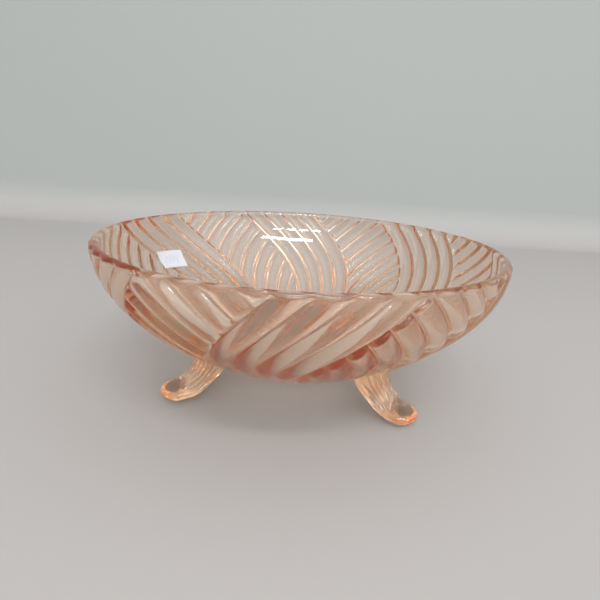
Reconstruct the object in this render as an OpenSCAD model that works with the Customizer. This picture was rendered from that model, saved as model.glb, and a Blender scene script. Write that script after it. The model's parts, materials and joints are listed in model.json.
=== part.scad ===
// Three-footed pressed-glass bowl with crossing bands of moulded ribs.
// Origin on the table under the middle of the bowl, +Z up, millimetres.

/* [Bowl] */
// Radius of the rim, over the crests of the ribs
rim_r = 105; // [95:1:115]
// Height of the rim above the table
rim_z = 86; // [82:1:95]
// Radius of the flat base
base_r = 46; // [44:1:47]
// Height of the underside of the base above the table
base_z = 21.5; // [21:0.5:22]
// Thickness of the wall, over the crests of the ribs
wall_t = 4.6; // [4.2:0.1:5.5]
// Radius of the level floor inside the bowl
floor_r = 43; // [40:1:47]
// Radius of the recess under the base
recess_r = 41; // [34:1:42]
// Depth of the recess under the base
recess_depth = 1.2; // [0.6:0.1:1.8]

/* [Ribs] */
// Depth of the grooves between the ribs
rib_depth = 2.6; // [0.8:0.1:2.8]
// Pairs of crossing bands round the bowl
band_pairs = 6; // [4:1:8]
// Ribs side by side in one band
ribs_in_band = 4; // [3:1:5]
// Rib widths that a rib turns round the bowl from the rim to the base, in thirds
turn_thirds = 11; // [8:1:12]
// Share of the turn law that is taken up near the base, where the ribs run straight in
turn_ease = 0.18; // [0.1:0.01:0.25]
// Azimuth of one pair's first groove, at the rim
pattern_azimuth = 25; // [0:1:60]

/* [Feet] */
// Azimuth of the right foot
foot_azimuth = -35; // [-60:1:0]
// Distance of the tip of the toe from the axis of the bowl
toe_reach = 77; // [74:0.5:80]
// Half the width of the foot where it joins the bowl
root_half_w = 16; // [12:0.5:17]
// Half the width of the foot at its waist
waist_half_w = 8.8; // [7:0.1:10]
// Half the width of the toe
toe_half_w = 9; // [8:0.1:11]
// Depth of the oval hollow pressed into the top of the toe
toe_hollow = 1.8; // [0:0.1:2.2]

/* [Price label] */
// Width of the paper label
label_w = 20.6; // [12:0.1:24]
// Height of the paper label above the table, at its middle
label_z = 60; // [56:1:66]
// Length of the paper label, measured up the wall in height
label_rise = 9.6; // [6:0.1:12]
// Azimuth of the middle of the label
label_azimuth = 156; // [140:1:170]
// Thickness of the paper
label_t = 0.2; // [0.15:0.05:0.4]

/* [Hidden] */

glass_tint = [0.93, 0.68, 0.56, 0.6];
paper_tint = [0.95, 0.95, 0.93];

// Mesh of the ribbed wall: three columns to a rib, and one row for each half column of turn,
// so that the grooves of both bands run along mesh edges.
columns_per_rib = 3;
columns_per_band = columns_per_rib * ribs_in_band;
columns = 2 * columns_per_band * band_pairs;
column_angle = 360 / columns;
wall_rows = 2 * turn_thirds;
turn_power = 8;
second_band_shift = 1;
// Share of the groove depth that is left in the last row at the rim and at the base
groove_end_share = 0.6;

// Rounded edge of the rim and the rows of the smooth inner wall
rim_round = 1.1;
inner_rows = 7;
floor_z = base_z + wall_t;
inner_top_r = rim_r - wall_t;
inner_top_z = rim_z - rim_round;

// Ring of flat glass that borders the recess under the base
recess_edge = 1.5;

// Radius and height of the outer surface, over the crests, at a share w of the way down to the base
function outer_r(w) = rim_r - (rim_r - base_r) * w * w;
function outer_z(w) = inner_top_z - (inner_top_z - base_z) * w;

// Share of the way down at which a row of the ribbed wall lies
function row_share(row) =
    let (q = row / wall_rows)
    (1 - turn_ease) * q + turn_ease * pow(q, turn_power);

// Outward normal of the outer crest surface, in the plane through the axis
function outer_normal(w) =
    let (run = inner_top_z - base_z, fall = 2 * (rim_r - base_r) * w)
    [run, -fall] / norm([run, fall]);

// 0 in a groove and 1 on a rib
function on_rib(column) = column % columns_per_rib == 0 ? 0 : 1;

// The first band's ribs keep their column. The second band's step one column over in each row.
function rib_height(column, row) =
    let (place = column % (2 * columns_per_band))
    place <= columns_per_band
        ? on_rib(place)
        : on_rib(place - row - second_band_shift + columns_per_rib * wall_rows);

// How much of the groove depth is left at a row: the grooves run out at the rim and the base
function groove_share(row) =
    row == 0 || row == wall_rows - 1 ? groove_end_share
    : row < wall_rows ? 1
    : 0;

function round_ring(r, z, turn) =
    [for (c = [0 : columns - 1])
        let (a = pattern_azimuth + c * column_angle - turn)
        [r * cos(a), r * sin(a), z]];

function ribbed_ring(row) =
    let (
        w = row_share(row),
        n = outer_normal(w),
        turn = row * column_angle / 2
    )
    [for (c = [0 : columns - 1])
        let (
            a = pattern_azimuth + c * column_angle - turn,
            dent = rib_depth * groove_share(row) * (1 - rib_height(c, row)),
            r = outer_r(w) - dent * n[0],
            z = outer_z(w) - dent * n[1]
        )
        [r * cos(a), r * sin(a), z]];

// Rows of the smooth inner wall, from the rim down to the floor
inner_line = [for (row = [0 : inner_rows])
    let (w = row / inner_rows)
    [inner_top_r - (inner_top_r - floor_r) * w * w, inner_top_z - (inner_top_z - floor_z) * w]];

full_turn = wall_rows * column_angle / 2;

// Every ring of the bowl, from the middle of the underside out, up over the rim and down inside
bowl_rings = concat(
    [round_ring(recess_r, base_z + recess_depth, full_turn)],
    [round_ring(recess_r + recess_edge, base_z, full_turn)],
    [for (row = [wall_rows : -1 : 0]) ribbed_ring(row)],
    [round_ring(rim_r - rim_round, rim_z, 0)],
    [round_ring(inner_top_r + rim_round, rim_z, 0)],
    [for (p = inner_line) round_ring(p[0], p[1], 0)]
);

// Faces that close a stack of rings with sides, each end closed by a fan to a middle point
function stack_faces(rings, sides) =
    let (first_middle = rings * sides, last_middle = first_middle + 1, top = (rings - 1) * sides)
    concat(
        [for (k = [0 : rings - 2], c = [0 : sides - 1])
            let (d = (c + 1) % sides)
            [k * sides + c, (k + 1) * sides + c, k * sides + d]],
        [for (k = [0 : rings - 2], c = [0 : sides - 1])
            let (d = (c + 1) % sides)
            [k * sides + d, (k + 1) * sides + c, (k + 1) * sides + d]],
        [for (c = [0 : sides - 1]) [first_middle, c, (c + 1) % sides]],
        [for (c = [0 : sides - 1]) [last_middle, top + (c + 1) % sides, top + c]]
    );

module stack(rings, first_middle, last_middle) {
    sides = len(rings[0]);
    polyhedron(
        points = concat([for (ring = rings) each ring], [first_middle, last_middle]),
        faces = stack_faces(len(rings), sides)
    );
}

module bowl() {
    color(glass_tint)
        stack(bowl_rings, [0, 0, base_z + recess_depth], [0, 0, floor_z]);
}

// Foot: a leg that is wide where it joins the bowl, narrows to a waist and
// turns out into a rounded toe with an oval hollow. Its spine is a Bezier curve in (radius, height).
foot_spine = [[50.2, base_z + 5], [51.5, 12.5], [61.5, 1], [toe_reach, 4.6]];
foot_sections = 18;
foot_sides = 32;
root_half_t = 9;
waist_half_t = 7;
toe_half_t = 4.3;
root_tilt = 27;
waist_at = 0.48;
toe_at = 0.84;
toe_rounding = 0.2;
// Size of the last section at the tip, as a share of the toe's
tip_end = 0.17;
hollow_length = 0.14;
hollow_width = 6;

function bezier(p, t) =
    pow(1 - t, 3) * p[0] + 3 * pow(1 - t, 2) * t * p[1] + 3 * (1 - t) * t * t * p[2] + pow(t, 3) * p[3];

// Smooth step between three sizes along the foot
function ease(x) = let (c = min(1, max(0, x))) c * c * (3 - 2 * c);
function along_foot(t, root, waist, toe) =
    t < waist_at
        ? root + (waist - root) * ease(t / waist_at)
        : waist + (toe - waist) * ease((t - waist_at) / (toe_at - waist_at));

// Rounds the end of the toe off
function tip_share(t) =
    let (s = max(0, (t - 1 + toe_rounding) / toe_rounding)) sqrt(max(tip_end * tip_end, 1 - s * s));

// Hollow in the top of the toe
function hollow(t, y) =
    toe_hollow * exp(-pow((t - toe_at) / hollow_length, 2) - pow(y / hollow_width, 2));

// One cross-section, level with the table where it reaches below it. x is the radius here.
function foot_ring(k) =
    let (
        t = k / (foot_sections - 1),
        middle = bezier(foot_spine, t),
        tilt = root_tilt + (90 - root_tilt) * t,
        half_w = tip_share(t) * along_foot(t, root_half_w, waist_half_w, toe_half_w),
        half_t = tip_share(t) * along_foot(t, root_half_t, waist_half_t, toe_half_t)
    )
    [for (s = [0 : foot_sides - 1])
        let (
            a = 360 * s / foot_sides,
            y = half_w * cos(a),
            lift = half_t * sin(a) - (sin(a) > 0 ? hollow(t, y) * sin(a) : 0)
        )
        [middle[0] + lift * cos(tilt), y, max(0, middle[1] + lift * sin(tilt))]];

module foot(azimuth) {
    rings = [for (k = [0 : foot_sections - 1]) foot_ring(k)];
    color(glass_tint)
        rotate([0, 0, azimuth])
            stack(rings, [foot_spine[0][0], 0, foot_spine[0][1]], [foot_spine[3][0], 0, foot_spine[3][1]]);
}

module foot_right() {
    foot(foot_azimuth);
}

module foot_rear() {
    foot(foot_azimuth + 120);
}

module foot_left() {
    foot(foot_azimuth - 120);
}

// Paper label stuck on the inner wall. Its back follows the wall.
label_gap = 0.03;
label_rows = 4;

module price_label() {
    wall_r = [for (p = inner_line) [p[1], p[0]]];
    low = label_z - label_rise / 2;
    back = [for (k = [0 : label_rows])
        let (z = low + k * label_rise / label_rows)
        [lookup(z, wall_r) - label_gap, z]];
    face = [for (k = [label_rows : -1 : 0]) back[k] - [label_t, 0]];
    spread = label_w / lookup(label_z, wall_r) * 180 / PI;
    color(paper_tint)
        rotate([0, 0, label_azimuth - spread / 2])
            rotate_extrude(angle = spread, $fn = 180)
                polygon(concat(back, face));
}

bowl();
foot_left();
foot_right();
foot_rear();
price_label();
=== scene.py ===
"""Looks of a three-footed bowl in pale pink pressed glass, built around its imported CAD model.

Every size is in metres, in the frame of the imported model: +Z up, the table at zero height, the
bowl's axis along Z and the camera on the -Y side.
"""
import json
import math

import bpy
import numpy as np
from mathutils import Matrix, Vector


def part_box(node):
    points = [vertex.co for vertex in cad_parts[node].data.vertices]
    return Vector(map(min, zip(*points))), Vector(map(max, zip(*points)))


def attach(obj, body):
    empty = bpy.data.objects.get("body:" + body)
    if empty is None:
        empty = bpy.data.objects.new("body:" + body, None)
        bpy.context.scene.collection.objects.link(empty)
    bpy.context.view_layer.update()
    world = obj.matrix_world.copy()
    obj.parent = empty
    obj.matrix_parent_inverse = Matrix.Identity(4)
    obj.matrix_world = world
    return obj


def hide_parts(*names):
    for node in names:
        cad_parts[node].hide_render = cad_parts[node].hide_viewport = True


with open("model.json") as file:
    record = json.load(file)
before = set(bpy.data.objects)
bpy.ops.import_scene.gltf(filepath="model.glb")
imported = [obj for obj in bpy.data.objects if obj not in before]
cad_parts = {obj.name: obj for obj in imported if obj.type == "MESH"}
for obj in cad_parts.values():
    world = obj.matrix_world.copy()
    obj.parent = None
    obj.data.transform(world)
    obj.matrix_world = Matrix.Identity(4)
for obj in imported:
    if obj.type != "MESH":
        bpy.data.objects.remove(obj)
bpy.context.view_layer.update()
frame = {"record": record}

MM = 0.001
QUARTER_TURN = math.pi / 2
FULL_TURN = 2 * math.pi

# ---- Sizes of the bowl -------------------------------------------------------------------------
bowl_low, bowl_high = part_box("bowl")
RIM_R = bowl_high.x
RIM_Z = bowl_high.z
BASE_Z = bowl_low.z
BASE_R = 46 * MM
WALL = 4.6 * MM
FLOOR_R = 43 * MM
RIM_ROUND = 2.2 * MM
FLOOR_Z = BASE_Z + WALL
WALL_TOP_Z = RIM_Z - RIM_ROUND
INNER_TOP_R = RIM_R - WALL
# Radius of the smallest ring of the mesh, at the middle of the base and of the floor
MIDDLE_R = 2 * MM

# ---- Underside of the base: a recess with fine rings in it, a step down and a level ring ---------
RECESS_R = 41 * MM
RECESS_DEPTH = 1.2 * MM
RINGS_FROM = RECESS_R - 8 * MM
RING_SPACING = 4 * MM
RING_DEPTH = 0.5 * MM
PLAIN_ROWS = 8
RINGED_ROWS = 24
ROW_GAP = 0.5 * MM
# Points of the step: how far outside the recess, and how high above the level ring
RECESS_STEP = ((0.5 * MM, 0.9 * MM), (1.0 * MM, 0.3 * MM), (1.5 * MM, 0))
LEVEL_RING_R = BASE_R - 0.9 * MM

# ---- Rows of the mesh round the rim and down the inside ------------------------------------------
SCALLOP_ROWS = 8
POLISHED_ROWS = 5
INNER_ROWS = 30
INNER_CROWDING = 1.3
FLOOR_ROWS = 5
# Rounding of the inner wall into the floor: its height and width, and how far in the level starts
BEND_HEIGHT = 1.2 * MM
BEND_WIDTH = 7 * MM
LEVEL_FROM = 12 * MM

# ---- Pattern of the ribs -----------------------------------------------------------------------
# One row of the wall's mesh turns it by half a column, so the grooves of both bands follow edges.
BAND_PAIRS = 6
RIBS_IN_BAND = 4
COLUMNS_PER_RIB = 12
COLUMNS_PER_BAND = COLUMNS_PER_RIB * RIBS_IN_BAND
COLUMNS = 2 * COLUMNS_PER_BAND * BAND_PAIRS
COLUMN_ANGLE = FULL_TURN / COLUMNS
PATTERN_AZIMUTH = math.radians(25)
# Rib widths that a rib turns round the bowl from the rim to the base
TURN_RIBS = 11 / 3
WALL_ROWS = round(2 * TURN_RIBS * COLUMNS_PER_RIB)
# Share of the turn law that is taken up near the base, where the ribs run straight in, and its power
TURN_EASE = 0.18
TURN_POWER = 8
# Columns that the second band's grooves are shifted by, and over which its ribs' ends are rounded
SECOND_BAND_SHIFT = 3
RIB_END_COLUMNS = 3.0

# ---- Grooves between the ribs ------------------------------------------------------------------
RIB_DEPTH = 2.5 * MM
# Share of a rib's fall that comes steeply, beside its grooves, and the power that it follows
GROOVE_SHARE = 0.2
GROOVE_SHARPNESS = 8
# Share of the depth that shrinks with the bowl's radius
FINER_SHARE = 0.55
# Share of the depth that is left at the rim, and the height below it where all of it is reached
RIM_GROOVE = 0.75
RIM_BAND = 1.6 * MM
# Share of the depth that is left at the base, and the share of the rows above which it is whole
GROOVE_AT_BASE = 0.8
THINNING_FROM = 0.8

# ---- Sizes of a foot ---------------------------------------------------------------------------
# Corners of the Bezier curve through the middle of a foot, in radius and height
FOOT_SPINE = np.array([[50.2, 26.5], [51.5, 12.5], [61.5, 1.0], [77.0, 4.6]]) * MM
FOOT_RINGS = 84
FOOT_SIDES = 288
# Half the width and half the thickness of a foot at its root, waist and toe
ROOT_HALF = (16.0 * MM, 9.0 * MM)
WAIST_HALF = (8.8 * MM, 7.0 * MM)
TOE_HALF = (9.0 * MM, 4.3 * MM)
ROOT_TILT = math.radians(27)
ROOT_SINK = 0.45 * MM
# Places along a foot, as shares of its length, and the size of its last ring as a share of the toe's
WAIST_AT = 0.48
TOE_AT = 0.84
TOE_ROUNDING = 0.2
TIP_END = 0.03
# Share of a foot's length in which it comes out of the bowl, and the steps in which that is found
ROOT_REACH = 0.5
ROOT_STEPS = 401
CAP_RINGS = 10

# ---- Flutes of a foot and the hollow in its toe ------------------------------------------------
FLUTES = 11
FLUTE_DEPTH = 1.2 * MM
# Share of a foot's length at which the flutes start to fade, and the share in which they are gone
FLUTES_FADE_FROM = 0.4
FLUTES_FADE = 0.4
# Depth of the hollow, half its length as a share of the foot's, and half its width
HOLLOW_DEPTH = 2.0 * MM
HOLLOW_LENGTH = 0.12
HOLLOW_WIDTH = 5.6 * MM
HOLLOW_SHARPNESS = 4
# The lip round it is raised LIP_AT times as far out as the hollow's edge
LIP_HEIGHT = 0.5 * MM
LIP_AT = 1.35
LIP_WIDTH = 0.25

# ---- Sizes of the price label ------------------------------------------------------------------
LABEL_SIZE = (20.6 * MM, 12.2 * MM)
LABEL_CELLS = (48, 30)
LABEL_AZIMUTH = math.radians(156)
LABEL_Z = 60 * MM
LABEL_TWIST = math.radians(7.0)
LABEL_GAP = 0.05 * MM
LABEL_THICKNESS = 0.15 * MM
# One upper corner lifts with the square of how far it lies past CURL_FROM
LABEL_CURL = 2.5 * MM
CURL_FROM = 0.55
# Stroke of the pen, where 1 is half the label's size: its height, width, waves to a half, and reach
INK_HEIGHT = 0.3
INK_WIDTH = 0.25
INK_WAVES = 3.2
INK_REACH = 0.55

# ---- Surfaces ----------------------------------------------------------------------------------
# Names of the values that a mesh holds for its material
SKIN = "moulded_skin"
INK = "pen_ink"
GLASS_IOR = 1.52
MOULDED_ROUGHNESS = 0.08
WORN_ROUGHNESS = 0.05
PAPER_ROUGHNESS = 0.8
STAGE_ROUGHNESS = 0.7
# Noise, in cells to a metre
WEAR_SCALE = 90
WAVE_SCALE = 70
FIBRE_SCALE = 2500
WAVE_HEIGHT = 0.4 * MM
FIBRE_HEIGHT = 0.05 * MM
FIBRE_STRENGTH = 0.3
PAPER_DARK = (0.42, 0.415, 0.435)
PAPER_LIGHT = (0.48, 0.475, 0.495)
INK_COLOUR = (0.38, 0.385, 0.48)
TABLE_COLOUR = (0.275, 0.257, 0.249)
BACKDROP_COLOUR = (0.28, 0.288, 0.274)
# Sockets of a node that mixes colours: the two colours and the result
MIX_FIRST, MIX_SECOND, MIX_RESULT = 6, 7, 2

# ---- Stage -------------------------------------------------------------------------------------
STAGE_FRONT = -1.6
STAGE_BACK = 0.55
STAGE_SIDE = 2.2
STAGE_TOP = 1.6
STAGE_DROP = 0.25 * MM
SWEEP_R = 0.06
SWEEP_STEPS = 7
# Heights between which the table's colour turns into the backdrop's
TONE_FROM = 0.01
TONE_TO = 0.06

# ---- Light -------------------------------------------------------------------------------------
SKY_COLOUR = (0.96, 0.99, 1.0)
SKY_DIM = 0.35
SKY_BRIGHT = 2.25
BRIGHT_SIDE = (0.3, -0.6, 0.9)
LAMP_RADIANCE = 25
CEILING = 1.5
# Rows of lamps in the ceiling: x and y of the middle, number, spacing, and the size of one lamp
LAMP_ROWS = (
    {"middle": (0.18, -2.35), "count": 4, "spacing": 0.43, "size": (0.3, 0.4)},
    {"middle": (0.31, -1.05), "count": 1, "spacing": 0, "size": (1.02, 0.2)},
)
BOUNCES = 48

# ---- Camera ------------------------------------------------------------------------------------
CAMERA_AT = (0, -0.2327, 0.1262)
CAMERA_PITCH = math.radians(18.28)
CAMERA_YAW = math.radians(0.25)
CAMERA_ROLL = math.radians(3.46)
CAMERA_LENS = 25.8
CAMERA_NEAR = 0.01


def ease(x):
    """Smooth step from 0 to 1 as x goes from 0 to 1."""
    x = np.clip(x, 0, 1)
    return x * x * (3 - 2 * x)


# ---- Meshes ------------------------------------------------------------------------------------
def stack_faces(rings, sides):
    """Triangles that join a stack of rings and close each end with a fan to a middle point."""
    ring, side = np.meshgrid(np.arange(rings - 1), np.arange(sides), indexing="ij")
    here = (ring * sides + side).ravel()
    beside = (ring * sides + (side + 1) % sides).ravel()
    above = here + sides
    above_beside = beside + sides
    first = np.arange(sides)
    first_next = (first + 1) % sides
    last = first + (rings - 1) * sides
    last_next = first_next + (rings - 1) * sides
    first_middle = np.full(sides, rings * sides)
    last_middle = first_middle + 1
    corners = [
        (here, beside, above),
        (beside, above_beside, above),
        (first_middle, first_next, first),
        (last_middle, last, last_next),
    ]
    return np.concatenate([np.stack(c, axis=1) for c in corners])


def add_mesh(name, points, faces, material):
    """A smooth-shaded mesh object in the scene."""
    mesh = bpy.data.meshes.new(name)
    mesh.from_pydata(points.tolist(), [], faces.tolist())
    mesh.polygons.foreach_set("use_smooth", [True] * len(mesh.polygons))
    mesh.materials.append(material)
    mesh.validate()
    mesh.update()
    piece = bpy.data.objects.new(name, mesh)
    bpy.context.scene.collection.objects.link(piece)
    return piece


def add_stack(name, rings, first_middle, last_middle, material):
    """A closed solid from rings, an array of (ring, side, xyz)."""
    count, sides = rings.shape[:2]
    points = np.concatenate([rings.reshape(-1, 3), [first_middle, last_middle]])
    return add_mesh(name, points, stack_faces(count, sides), material)


def mark_points(piece, name, values):
    """Stores one value for each vertex under a name that a material can look up."""
    mark = piece.data.attributes.new(name, "FLOAT", "POINT")
    mark.data.foreach_set("value", values.astype(float))


def dress(piece, node):
    """Puts a finished piece in the place of its CAD node."""
    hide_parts(node)
    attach(piece, "root")


# ---- Bowl --------------------------------------------------------------------------------------
def crest_r(share):
    """Radius of the outer surface over the crests, at a share of the way down from rim to base."""
    return RIM_R - (RIM_R - BASE_R) * share ** 2


def crest_z(share):
    """Height of the outer surface, at a share of the way down from rim to base."""
    return WALL_TOP_Z - (WALL_TOP_Z - BASE_Z) * share


def crest_normal(share):
    """Radial and upward parts of the outer surface's outward normal."""
    run = WALL_TOP_Z - BASE_Z
    fall = 2 * (RIM_R - BASE_R) * share
    length = np.hypot(run, fall)
    return run / length, -fall / length


def lobe(place):
    """Height of a rib across its width: 1 on its round crest and 0 in the grooves beside it."""
    off_crest = np.abs(2 * (place % COLUMNS_PER_RIB) / COLUMNS_PER_RIB - 1)
    return 1 - (1 - GROOVE_SHARE) * off_crest ** 2 - GROOVE_SHARE * off_crest ** GROOVE_SHARPNESS


def rib_height(column, row):
    """Height of the ribs, 0 to 1. The second band's lean the other way and end at the first's."""
    place = column % (2 * COLUMNS_PER_BAND)
    first_band = place <= COLUMNS_PER_BAND
    crossing = place - row - SECOND_BAND_SHIFT
    from_edge = np.minimum(place - COLUMNS_PER_BAND, 2 * COLUMNS_PER_BAND - place)
    end = 1 - np.clip(1 - from_edge / RIB_END_COLUMNS, 0, 1) ** 2
    return np.where(first_band, lobe(place), lobe(crossing) * end)


def groove_depth(row, share):
    """Depth of the grooves: less at the rim and the base, and finer as the bowl narrows."""
    below_rim = WALL_TOP_Z - crest_z(share)
    start = RIM_GROOVE + (1 - RIM_GROOVE) * ease(below_rim / RIM_BAND)
    finer = 1 - FINER_SHARE * (1 - crest_r(share) / RIM_R)
    thinning = ease((row / WALL_ROWS - THINNING_FROM) / (1 - THINNING_FROM))
    end = 1 - (1 - GROOVE_AT_BASE) * thinning
    return RIB_DEPTH * start * finer * end


def ribbed_wall():
    """Rings of the ribbed outer wall, from the rim down to the base."""
    row, column = np.meshgrid(np.arange(WALL_ROWS + 1), np.arange(COLUMNS), indexing="ij")
    even = row / WALL_ROWS
    share = (1 - TURN_EASE) * even + TURN_EASE * even ** TURN_POWER
    azimuth = PATTERN_AZIMUTH + (column - row / 2) * COLUMN_ANGLE
    dent = groove_depth(row, share) * (1 - rib_height(column, row))
    out, up = crest_normal(share)
    radius = crest_r(share) - dent * out
    height = crest_z(share) - dent * up
    return np.stack([radius * np.cos(azimuth), radius * np.sin(azimuth), height], axis=2)


def round_rings(profile, turn=0.0):
    """Plain rings through a profile of (radius, height), turned to meet the wall's columns."""
    azimuth = PATTERN_AZIMUTH + np.arange(COLUMNS) * COLUMN_ANGLE - turn
    radius, height = np.asarray(profile).T[:, :, None]
    height = np.broadcast_to(height, (len(profile), COLUMNS))
    return np.stack([radius * np.cos(azimuth), radius * np.sin(azimuth), height], axis=2)


def arc(middle, radius, first, last, steps):
    """Points along an arc, with its ends left out."""
    angle = np.linspace(first, last, steps + 2)[1:-1]
    return [(middle[0] + radius * math.cos(a), middle[1] + radius * math.sin(a)) for a in angle]


def scalloped_rim():
    """Rings of the outer half of the rim's rounding, where the grooves run out over the edge."""
    angles = np.linspace(0, QUARTER_TURN, SCALLOP_ROWS)[1:]
    angle, column = np.meshgrid(angles, np.arange(COLUMNS), indexing="ij")
    depth = RIB_DEPTH * RIM_GROOVE * (1 - ease(angle / QUARTER_TURN))
    dent = depth * (1 - rib_height(column, 0))
    azimuth = PATTERN_AZIMUTH + column * COLUMN_ANGLE
    radius = RIM_R - RIM_ROUND + (RIM_ROUND - dent) * np.cos(angle)
    height = WALL_TOP_Z + (RIM_ROUND - dent) * np.sin(angle)
    return np.stack([radius * np.cos(azimuth), radius * np.sin(azimuth), height], axis=2)


def rim_profile():
    """The fire-polished inner half of the rim, from its top over to the inner wall."""
    middle = (INNER_TOP_R + RIM_ROUND, WALL_TOP_Z)
    return [(middle[0], RIM_Z)] + arc(middle, RIM_ROUND, QUARTER_TURN, math.pi, POLISHED_ROWS)


def inner_r(height):
    """Radius of the smooth inner wall at a height."""
    share = (WALL_TOP_Z - height) / (WALL_TOP_Z - FLOOR_Z)
    return INNER_TOP_R - (INNER_TOP_R - FLOOR_R) * share ** 2


def inner_profile():
    """The smooth inner wall from the rim down, rounded into the level floor."""
    shares = np.linspace(0, 1, INNER_ROWS) ** INNER_CROWDING
    heights = WALL_TOP_Z - (WALL_TOP_Z - FLOOR_Z - BEND_HEIGHT) * shares
    wall = [(inner_r(h), h) for h in heights]
    low_r, low_z = wall[-1]
    bend = [
        (low_r - BEND_WIDTH * s, FLOOR_Z + (low_z - FLOOR_Z) * (1 - s) ** 2)
        for s in (0.25, 0.5, 0.75, 1.0)
    ]
    floor = [(r, FLOOR_Z) for r in np.linspace(low_r - LEVEL_FROM, MIDDLE_R, FLOOR_ROWS)]
    return wall + bend + floor


def base_profile():
    """The underside, from the middle of its recess out to the ends of the ribs."""
    plain = np.linspace(MIDDLE_R, RINGS_FROM, PLAIN_ROWS)
    ringed = np.linspace(RINGS_FROM + ROW_GAP, RECESS_R, RINGED_ROWS)
    ripple = RING_DEPTH / 2 * (1 - np.cos(FULL_TURN * (RECESS_R - ringed) / RING_SPACING))
    recess_z = BASE_Z + RECESS_DEPTH
    recess = [(r, recess_z) for r in plain] + [(r, recess_z - d) for r, d in zip(ringed, ripple)]
    step = [(RECESS_R + out, BASE_Z + up) for out, up in RECESS_STEP]
    return recess + step + [(LEVEL_RING_R, BASE_Z)]


def add_bowl(material):
    """The bowl as one closed solid, from the middle of its underside round to its floor."""
    turn = WALL_ROWS / 2 * COLUMN_ANGLE
    base = round_rings(base_profile(), turn)
    moulded = np.concatenate([base, ribbed_wall()[::-1], scalloped_rim()])
    polished = np.concatenate([round_rings(rim_profile()), round_rings(inner_profile())])
    rings = np.concatenate([moulded, polished])
    under_middle = (0, 0, BASE_Z + RECESS_DEPTH)
    piece = add_stack("bowl_glass_body", rings, under_middle, (0, 0, FLOOR_Z), material)
    ring = np.arange(len(piece.data.vertices)) // COLUMNS
    mark_points(piece, SKIN, ring < len(moulded))
    dress(piece, "bowl")


# ---- Feet --------------------------------------------------------------------------------------
def under_bowl(radius):
    """Height at which a foot's root ends, just inside the glass of the bowl's underside."""
    share = np.sqrt(np.clip((RIM_R - radius) / (RIM_R - BASE_R), 0, 1))
    return crest_z(share) + ROOT_SINK


def bezier(points, t):
    """Radius and height along a Bezier curve, t from 0 to 1."""
    a, b, c, d = points[:, :, None, None]
    return (1 - t) ** 3 * a + 3 * (1 - t) ** 2 * t * b + 3 * (1 - t) * t ** 2 * c + t ** 3 * d


def along_foot(t, root, waist, toe):
    """Eases one size of a foot from its root through its waist to its toe."""
    upper = root + (waist - root) * ease(t / WAIST_AT)
    lower = waist + (toe - waist) * ease((t - WAIST_AT) / (TOE_AT - WAIST_AT))
    return np.where(t < WAIST_AT, upper, lower)


def toe_press(t, y):
    """How far the thumb-shaped hollow in the toe lowers its top, less the lip raised round it."""
    away = np.sqrt(((t - TOE_AT) / HOLLOW_LENGTH) ** 2 + (y / HOLLOW_WIDTH) ** 2)
    hollow = HOLLOW_DEPTH * np.exp(-away ** HOLLOW_SHARPNESS)
    return hollow - LIP_HEIGHT * np.exp(-((away - LIP_AT) / LIP_WIDTH) ** 2)


def foot_surface(t, angle):
    """Points of a foot that points along +X, t along it from root to tip and angle round it."""
    middle_r, middle_z = bezier(FOOT_SPINE, t)
    tilt = ROOT_TILT + (QUARTER_TURN - ROOT_TILT) * t
    past_rounding = np.clip(t - 1 + TOE_ROUNDING, 0, 1) / TOE_ROUNDING
    tip = np.sqrt(np.clip(1 - past_rounding ** 2, TIP_END ** 2, 1))
    half_w = tip * along_foot(t, ROOT_HALF[0], WAIST_HALF[0], TOE_HALF[0])
    half_t = tip * along_foot(t, ROOT_HALF[1], WAIST_HALF[1], TOE_HALF[1])
    fluted = FLUTE_DEPTH * (1 - ease((t - FLUTES_FADE_FROM) / FLUTES_FADE))
    ridge = fluted * (np.abs(np.sin(FLUTES * angle)) - 1)
    y = (half_w + ridge) * np.cos(angle)
    top = np.clip(np.sin(angle), 0, 1)
    lift = (half_t + ridge) * np.sin(angle) - toe_press(t, y) * top
    radius = middle_r + lift * np.cos(tilt)
    height = np.maximum(0, middle_z + lift * np.sin(tilt))
    return radius, y, height


def root_start(angle):
    """Where along its length each side of a foot comes out of the bowl."""
    t = np.linspace(0, ROOT_REACH, ROOT_STEPS)[:, None]
    radius, y, height = foot_surface(t, angle)
    outside = height < under_bowl(np.hypot(radius, y))
    return t[np.argmax(outside, axis=0), 0][None, :]


def root_cap(edge):
    """Rings that close a foot's root along the underside of the bowl, and the root's middle."""
    middle = edge.mean(axis=0)
    share = (np.arange(1, CAP_RINGS) / CAP_RINGS)[:, None, None]
    rings = middle + (edge - middle) * share
    rings[:, :, 2] = under_bowl(np.hypot(rings[:, :, 0], rings[:, :, 1]))
    middle[2] = under_bowl(np.hypot(middle[0], middle[1]))
    return rings, middle


def add_foot(node, azimuth, material):
    """One foot, with rings that lie closer together towards its tip."""
    angle = np.linspace(0, FULL_TURN, FOOT_SIDES, endpoint=False)[None, :]
    start = root_start(angle)
    along = np.sin(np.linspace(0, QUARTER_TURN, FOOT_RINGS))[:, None]
    radius, y, height = foot_surface(start + (1 - start) * along, angle)
    rings = np.stack([radius, y, height], axis=2)
    cap, middle = root_cap(rings[0])
    tip = rings[-1].mean(axis=0)
    turn = np.array(Matrix.Rotation(azimuth, 3, "Z"))
    rings = np.concatenate([cap, rings]) @ turn.T
    piece = add_stack(node + "_glass", rings, turn @ middle, turn @ tip, material)
    dress(piece, node)


def foot_azimuths():
    """Azimuth of each foot, from the mounts where the soles rest on the table."""
    mounts = {m["name"]: m["pos_m"] for m in frame["record"]["mounts"]}
    return {"foot_" + name.split("_")[1]: math.atan2(p[1], p[0]) for name, p in mounts.items()}


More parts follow.
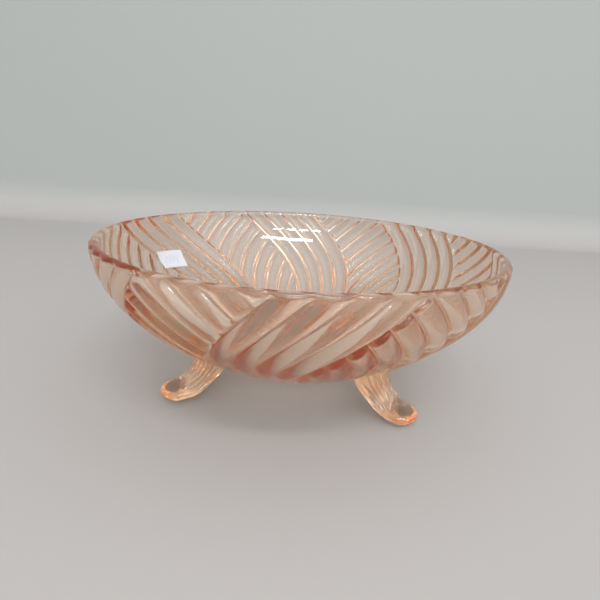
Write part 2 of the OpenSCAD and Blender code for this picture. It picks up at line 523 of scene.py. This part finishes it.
# ---- Price label -------------------------------------------------------------------------------
def label_grid(reach):
    """How far across and how far up each corner of the label's mesh is, from -reach to reach."""
    columns, rows = LABEL_CELLS
    return np.meshgrid(np.linspace(-reach, reach, columns + 1), np.linspace(-reach, reach, rows + 1))


def label_sheet(lift):
    """Points of one face of the label, at a distance from the inner wall."""
    u, v = label_grid(0.5)
    across = u * LABEL_SIZE[0]
    up = v * LABEL_SIZE[1]
    side = across * math.cos(LABEL_TWIST) - up * math.sin(LABEL_TWIST)
    rise = across * math.sin(LABEL_TWIST) + up * math.cos(LABEL_TWIST)
    lean = math.atan2(inner_r(LABEL_Z + MM) - inner_r(LABEL_Z - MM), 2 * MM)
    height = LABEL_Z + rise * math.cos(lean)
    curl = LABEL_CURL * np.clip(u + v - CURL_FROM, 0, 1) ** 2
    radius = inner_r(height) - (LABEL_GAP + lift + curl) / math.cos(lean)
    azimuth = LABEL_AZIMUTH + side / inner_r(LABEL_Z)
    return np.stack([radius * np.cos(azimuth), radius * np.sin(azimuth), height], axis=2)


def grid_faces(rows, columns, start, flip):
    """Four-sided faces of a sheet of rows and columns of cells, with corners counted from start."""
    row, column = np.meshgrid(np.arange(rows), np.arange(columns), indexing="ij")
    first = (start + row * (columns + 1) + column).ravel()
    quads = np.stack([first, first + 1, first + columns + 2, first + columns + 1], axis=1)
    return quads[:, ::-1] if flip else quads


def label_ink():
    """How much pen ink each corner of the label's mesh carries: one wavy stroke, no writing."""
    u, v = label_grid(1)
    stroke = INK_HEIGHT * np.sin(FULL_TURN * INK_WAVES * u)
    return np.where(np.abs(u) < INK_REACH, np.exp(-(((v - stroke) / INK_WIDTH) ** 2)), 0.0)


def add_label(material):
    """The paper label, as two sheets joined round their border."""
    columns, rows = LABEL_CELLS
    back, face = label_sheet(0), label_sheet(LABEL_THICKNESS)
    count = back.shape[0] * back.shape[1]
    index = np.arange(count).reshape(rows + 1, columns + 1)
    border = np.concatenate([index[0, :-1], index[:-1, -1], index[-1, :0:-1], index[:0:-1, 0]])
    after = np.roll(border, -1)
    edge = np.stack([border, border + count, after + count, after], axis=1)
    faces = np.concatenate([
        grid_faces(rows, columns, 0, False),
        grid_faces(rows, columns, count, True),
        edge,
    ])
    points = np.concatenate([back.reshape(-1, 3), face.reshape(-1, 3)])
    piece = add_mesh("price_label_paper", points, faces, material)
    mark_points(piece, INK, np.tile(label_ink().ravel(), 2))
    dress(piece, "price_label")


# ---- Materials ---------------------------------------------------------------------------------
def node_tools(tree):
    """A function that adds a node to a tree with its settings, and one that links two sockets."""
    def add(kind, **settings):
        node = tree.nodes.new(kind)
        for key, value in settings.items():
            setattr(node, key, value)
        return node

    return add, tree.links.new


def new_material(name):
    """A material, its principled shader and the tools for its node tree."""
    material = bpy.data.materials.new(name)
    material.use_nodes = True
    add, link = node_tools(material.node_tree)
    return material, material.node_tree.nodes["Principled BSDF"], add, link


def noise(add, link, where, scale, detail):
    """Smooth noise from 0 to 1."""
    node = add("ShaderNodeTexNoise")
    node.inputs["Scale"].default_value = scale
    node.inputs["Detail"].default_value = detail
    link(where, node.inputs["Vector"])
    return node.outputs["Fac"]


def remap(add, link, value, given, wanted, **settings):
    """Maps a value from the range given onto the range wanted."""
    node = add("ShaderNodeMapRange", **settings)
    node.inputs["From Min"].default_value, node.inputs["From Max"].default_value = given
    node.inputs["To Min"].default_value, node.inputs["To Max"].default_value = wanted
    link(value, node.inputs["Value"])
    return node.outputs["Result"]


def blend(add, link, share, first, second):
    """Goes from the first to the second colour as share goes from 0 to 1. The first can be a socket."""
    node = add("ShaderNodeMix", data_type="RGBA")
    link(share, node.inputs["Factor"])
    if isinstance(first, tuple):
        node.inputs[MIX_FIRST].default_value = (*first, 1)
    else:
        link(first, node.inputs[MIX_FIRST])
    node.inputs[MIX_SECOND].default_value = (*second, 1)
    return node.outputs[MIX_RESULT]


def roughen(add, link, shader, height, strength, distance):
    """Bends a shader's surface by a height, without moving the mesh."""
    bump = add("ShaderNodeBump")
    bump.inputs["Strength"].default_value = strength
    bump.inputs["Distance"].default_value = distance
    link(height, bump.inputs["Height"])
    link(bump.outputs["Normal"], shader.inputs["Normal"])


def glass(name, body, tint, density, waviness):
    """Pressed glass: a faint body colour, a tint that deepens with thickness and a wavy skin.

    The skin is polished by fire, and a little rougher where the mesh marks it as moulded.
    """
    material, shader, add, link = new_material(name)
    where = add("ShaderNodeTexCoord").outputs["Object"]
    shader.inputs["Transmission Weight"].default_value = 1.0
    shader.inputs["IOR"].default_value = GLASS_IOR
    shader.inputs["Base Color"].default_value = (*body, 1)
    roughness = add("ShaderNodeMath", operation="MULTIPLY_ADD")
    link(add("ShaderNodeAttribute", attribute_name=SKIN).outputs["Fac"], roughness.inputs[0])
    roughness.inputs[1].default_value = MOULDED_ROUGHNESS
    wear = noise(add, link, where, WEAR_SCALE, detail=3)
    link(remap(add, link, wear, (0, 1), (0, WORN_ROUGHNESS)), roughness.inputs[2])
    link(roughness.outputs[0], shader.inputs["Roughness"])
    waves = noise(add, link, where, WAVE_SCALE, detail=2)
    roughen(add, link, shader, waves, waviness, WAVE_HEIGHT)
    depth = add("ShaderNodeVolumeAbsorption")
    depth.inputs["Color"].default_value = (*tint, 1)
    depth.inputs["Density"].default_value = density
    link(depth.outputs["Volume"], material.node_tree.nodes["Material Output"].inputs["Volume"])
    return material


def paper(name):
    """Matt white label paper with a fine fibre and a stroke of pen ink."""
    material, shader, add, link = new_material(name)
    where = add("ShaderNodeTexCoord").outputs["Object"]
    fibre = noise(add, link, where, FIBRE_SCALE, detail=4)
    bare = blend(add, link, fibre, PAPER_DARK, PAPER_LIGHT)
    ink = add("ShaderNodeAttribute", attribute_name=INK).outputs["Fac"]
    link(blend(add, link, ink, bare, INK_COLOUR), shader.inputs["Base Color"])
    shader.inputs["Roughness"].default_value = PAPER_ROUGHNESS
    roughen(add, link, shader, fibre, FIBRE_STRENGTH, FIBRE_HEIGHT)
    return material


def stage_paint(name):
    """Matt paint that turns from the table's colour into the backdrop's, up from the table."""
    material, shader, add, link = new_material(name)
    place = add("ShaderNodeSeparateXYZ")
    link(add("ShaderNodeTexCoord").outputs["Object"], place.inputs["Vector"])
    rise = remap(add, link, place.outputs["Z"], (TONE_FROM, TONE_TO), (0, 1))
    link(blend(add, link, rise, TABLE_COLOUR, BACKDROP_COLOUR), shader.inputs["Base Color"])
    shader.inputs["Roughness"].default_value = STAGE_ROUGHNESS
    return material


# ---- Stage, lights and camera ------------------------------------------------------------------
def add_stage(material):
    """A plain pale table that sweeps up into a plain pale backdrop behind the bowl."""
    sweep_y = STAGE_BACK - SWEEP_R
    sweep_z = SWEEP_R - STAGE_DROP
    table = [(STAGE_FRONT, -STAGE_DROP), (sweep_y, -STAGE_DROP)]
    sweep = arc((sweep_y, sweep_z), SWEEP_R, -QUARTER_TURN, 0, SWEEP_STEPS)
    profile = table + sweep + [(STAGE_BACK, sweep_z), (STAGE_BACK, STAGE_TOP)]
    points = np.array([(x, y, z) for y, z in profile for x in (-STAGE_SIDE, STAGE_SIDE)])
    faces = np.array([(2 * k, 2 * k + 1, 2 * k + 3, 2 * k + 2) for k in range(len(profile) - 1)])
    add_mesh("stage_floor", points, faces, material)


def add_lamp_row(middle, count, spacing, size):
    """A row of lamps in the ceiling, side by side and facing down."""
    for number in range(count):
        lamp = bpy.data.lights.new("ceiling_lamp", "AREA")
        lamp.shape = "RECTANGLE"
        lamp.size, lamp.size_y = size
        lamp.energy = math.pi * LAMP_RADIANCE * size[0] * size[1]
        light = bpy.data.objects.new(lamp.name, lamp)
        x = middle[0] + spacing * (number - (count - 1) / 2)
        light.location = (x, middle[1], CEILING)
        bpy.context.scene.collection.objects.link(light)


def add_sky():
    """A pale sky, brightest high on the camera's side and dim low down behind the bowl."""
    world = bpy.data.worlds.new("studio")
    world.use_nodes = True
    add, link = node_tools(world.node_tree)
    facing = add("ShaderNodeVectorMath", operation="DOT_PRODUCT")
    link(add("ShaderNodeTexCoord").outputs["Generated"], facing.inputs[0])
    facing.inputs[1].default_value = BRIGHT_SIDE
    brightness = (SKY_DIM, SKY_BRIGHT)
    strength = remap(
        add, link, facing.outputs["Value"], (0, 1), brightness, interpolation_type="SMOOTHSTEP"
    )
    background = world.node_tree.nodes["Background"]
    background.inputs["Color"].default_value = (*SKY_COLOUR, 1)
    link(strength, background.inputs["Strength"])
    bpy.context.scene.world = world


def add_camera():
    """The camera, looking down at the bowl from the front and tilted a little."""
    forward = Vector((
        math.sin(CAMERA_YAW) * math.cos(CAMERA_PITCH),
        math.cos(CAMERA_YAW) * math.cos(CAMERA_PITCH),
        -math.sin(CAMERA_PITCH),
    ))
    right = Vector((math.cos(CAMERA_YAW), -math.sin(CAMERA_YAW), 0))
    up = right.cross(forward)
    tilted_right = right * math.cos(CAMERA_ROLL) + up * math.sin(CAMERA_ROLL)
    tilted_up = up * math.cos(CAMERA_ROLL) - right * math.sin(CAMERA_ROLL)
    axes = Matrix((tilted_right, tilted_up, -forward)).transposed()
    data = bpy.data.cameras.new("camera")
    data.lens = CAMERA_LENS
    data.clip_start = CAMERA_NEAR
    camera = bpy.data.objects.new("camera", data)
    camera.matrix_world = Matrix.Translation(CAMERA_AT) @ axes.to_4x4()
    bpy.context.scene.collection.objects.link(camera)
    bpy.context.scene.camera = camera


def set_light_and_colour():
    """Lets light cross the many faces of ribbed glass, and shows its colours unchanged."""
    cycles = bpy.context.scene.cycles
    cycles.max_bounces = BOUNCES
    cycles.transmission_bounces = BOUNCES
    cycles.glossy_bounces = BOUNCES
    bpy.context.scene.view_settings.view_transform = "Standard"


bowl_glass = glass(
    "pink_bowl_glass", body=(1.0, 0.905, 0.845), tint=(0.915, 0.66, 0.38), density=58, waviness=0.06
)
foot_glass = glass(
    "pink_foot_glass", body=(1.0, 0.895, 0.82), tint=(0.89, 0.66, 0.38), density=45, waviness=0.12
)

add_camera()
for lamp_row in LAMP_ROWS:
    add_lamp_row(**lamp_row)
add_sky()
add_stage(stage_paint("stage_floor"))
add_bowl(bowl_glass)
for node, azimuth in sorted(foot_azimuths().items()):
    add_foot(node, azimuth, foot_glass)
add_label(paper("label_paper_white"))
set_light_and_colour()
